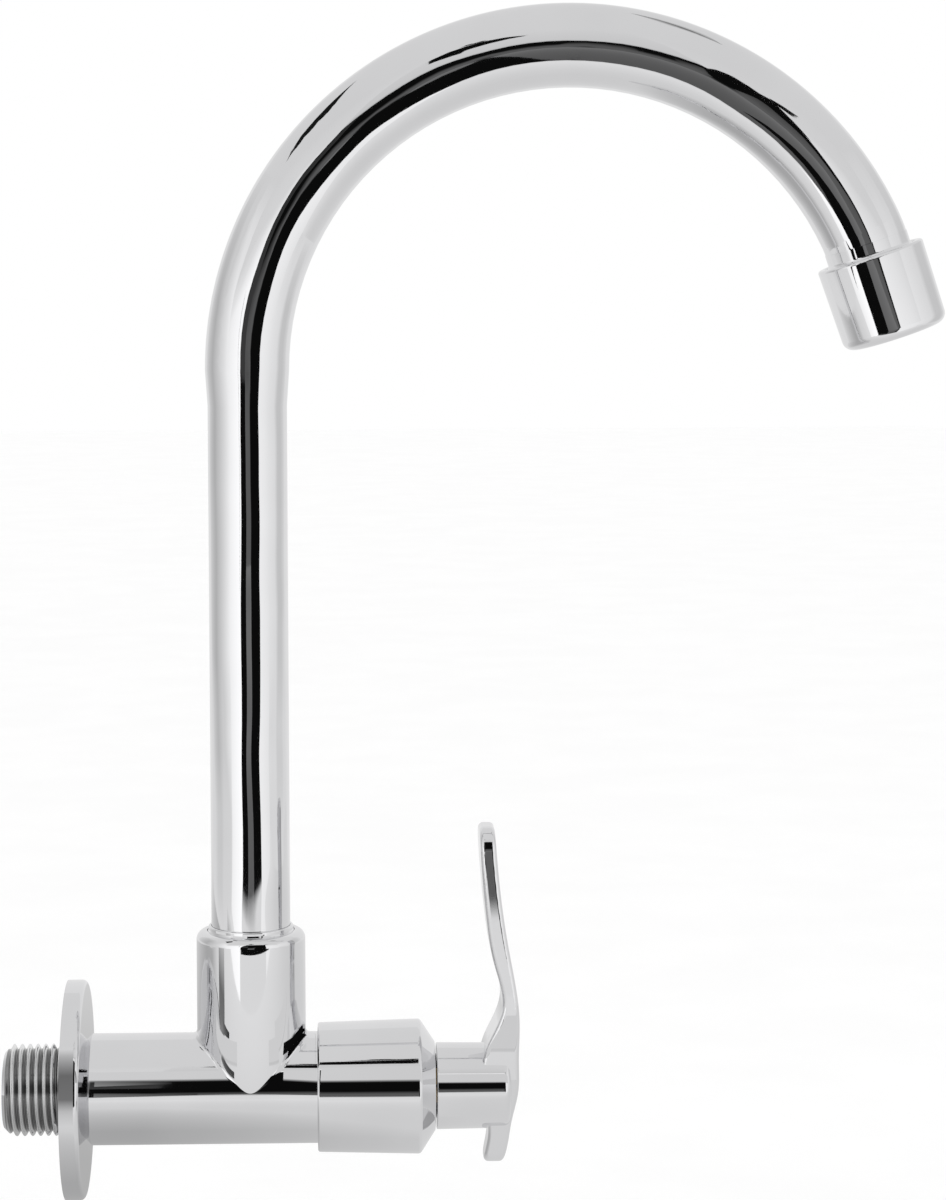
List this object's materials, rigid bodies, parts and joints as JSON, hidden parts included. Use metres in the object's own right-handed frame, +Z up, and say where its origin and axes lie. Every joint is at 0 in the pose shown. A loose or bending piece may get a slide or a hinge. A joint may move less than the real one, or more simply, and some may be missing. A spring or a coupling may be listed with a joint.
{
  "type": "wall-mounted tap",
  "caption": "Wall-mounted cold-water tap: threaded inlet with a sliding wall flange, barrel with a swivelling gooseneck spout and aerator, and an upright quarter-turn lever.",
  "frame": {"origin": "on the barrel's axis, in the plane of the wall (the back of the wall flange)", "axes": "+X out of the wall along the barrel, +Z up along the spout's swivel axis, +Y completes the frame; the tap is the same on both sides of the XZ plane"},
  "size_m": [0.2173, 0.05, 0.2749],
  "materials": {
    "chrome": "polished chrome plate on brass",
    "brass": "turned, unplated",
    "rubber": "moulded, matt",
    "ceramic": "lapped alumina ceramic, opaque",
    "plastic": "moulded acetal",
    "steel": "stainless, fine matt"
  },
  "bodies": {
    "body": {"inlet_nipple": "chrome", "tap_body": "chrome", "bonnet_sleeve": "chrome", "headwork_housing": "brass", "headwork_gasket": "rubber", "seat_seal": "rubber", "fixed_disc": "ceramic", "spout_collar": "chrome", "spout_guide_ring": "chrome"},
    "handle": {"lever_handle": "chrome", "grub_screw": "steel", "grub_plug": "plastic", "spindle": "brass", "moving_disc": "ceramic", "spindle_seals": "rubber", "thrust_washer": "plastic", "spindle_clip": "steel"},
    "spout": {"spout_tube": "chrome", "spout_bush": "brass", "spout_seals": "rubber", "spout_end_adaptor": "chrome", "aerator_shell": "chrome", "aerator_gasket": "rubber", "aerator_insert": "plastic", "aerator_grid": "steel", "filter_screen": "steel"},
    "flange": {"wall_flange": "chrome"}
  },
  "joints": [
    {"name": "handle_turn", "type": "hinge", "parent": "body", "child": "handle", "pos_m": [0.085, 0, 0], "axis": [1, 0, 0], "range_deg": [0, 90]},
    {"name": "spout_swivel", "type": "hinge", "parent": "body", "child": "spout", "pos_m": [0.0426, 0, 0.029], "axis": [0, 0, 1], "continuous": true},
    {"name": "flange_slide", "type": "slide", "parent": "body", "child": "flange", "axis": [1, 0, 0], "range_m": [-0.01, 0]}
  ]
}
